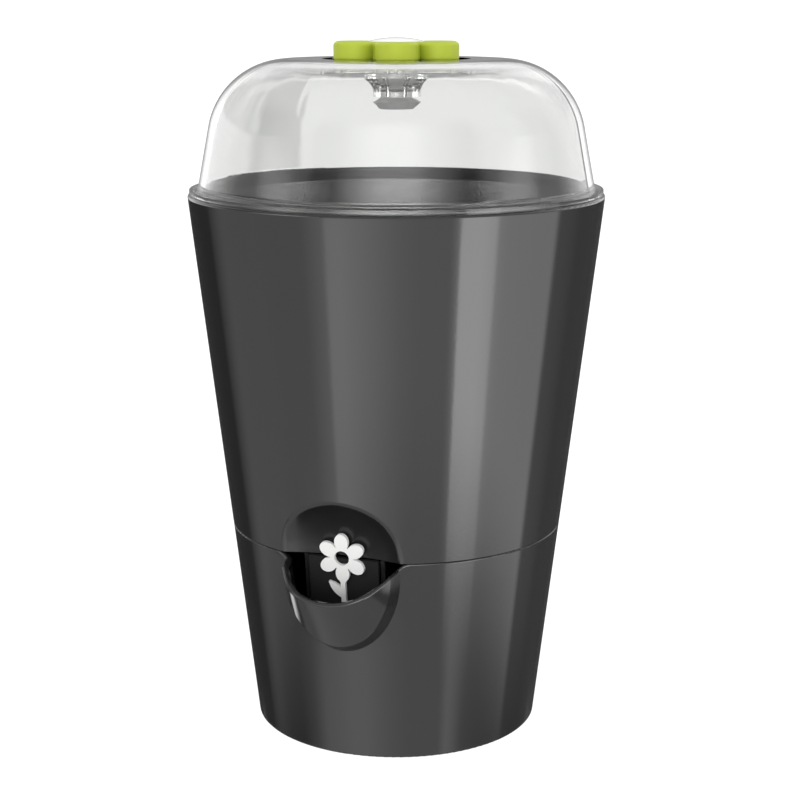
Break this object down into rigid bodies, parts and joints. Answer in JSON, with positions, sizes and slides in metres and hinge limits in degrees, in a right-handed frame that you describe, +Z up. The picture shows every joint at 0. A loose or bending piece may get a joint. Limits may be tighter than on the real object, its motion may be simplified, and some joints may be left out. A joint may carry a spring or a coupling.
{
  "type": "self-watering plant pot",
  "caption": "Tapered plant pot with a water reservoir, a fill spout with a flower-shaped float gauge, a lift-out inner pot and a clear vented dome with a flower knob.",
  "frame": {"origin": "middle of the base, on the surface the pot stands on", "axes": "+Z up along the pot's axis; -Y is the front, with the fill spout"},
  "size_m": [0.1398, 0.1398, 0.2339],
  "materials": {
    "body_charcoal": "glossy charcoal",
    "float_dark": "matt dark grey",
    "flower_white": "satin white",
    "basket_dark": "matt black",
    "dome_clear": "clear",
    "stem_grey": "satin grey",
    "seal_dark": "matt dark",
    "knob_green": "satin lime green",
    "cap_white": "glossy white"
  },
  "bodies": {
    "base": {"reservoir": "body_charcoal", "float_well": "body_charcoal"},
    "float": {"float_block": "float_dark", "flower_indicator": "flower_white"},
    "shell": {"outer_shell": "body_charcoal"},
    "liner": {"grow_pot": "body_charcoal", "wick_basket": "basket_dark"},
    "cover": {"dome": "dome_clear"},
    "vent": {"flower_knob": "knob_green", "knob_cap": "cap_white", "vent_stem": "stem_grey", "stem_seal": "seal_dark"}
  },
  "joints": [
    {"name": "shell_lift", "type": "slide", "parent": "base", "child": "shell", "axis": [0, 0, 1], "range_m": [0, 0.075]},
    {"name": "liner_lift", "type": "slide", "parent": "shell", "child": "liner", "axis": [0, 0, 1], "range_m": [0, 0.18]},
    {"name": "dome_lift", "type": "slide", "parent": "liner", "child": "cover", "axis": [0, 0, 1], "range_m": [0, 0.06]},
    {"name": "vent_turn", "type": "hinge", "parent": "cover", "child": "vent", "pos_m": [0, 0, 0.23], "axis": [0, 0, 1], "range_deg": [0, 30]},
    {"name": "float_slide", "type": "slide", "parent": "base", "child": "float", "axis": [0, -0.1163, 0.9932], "range_m": [-0.024, 0]}
  ]
}
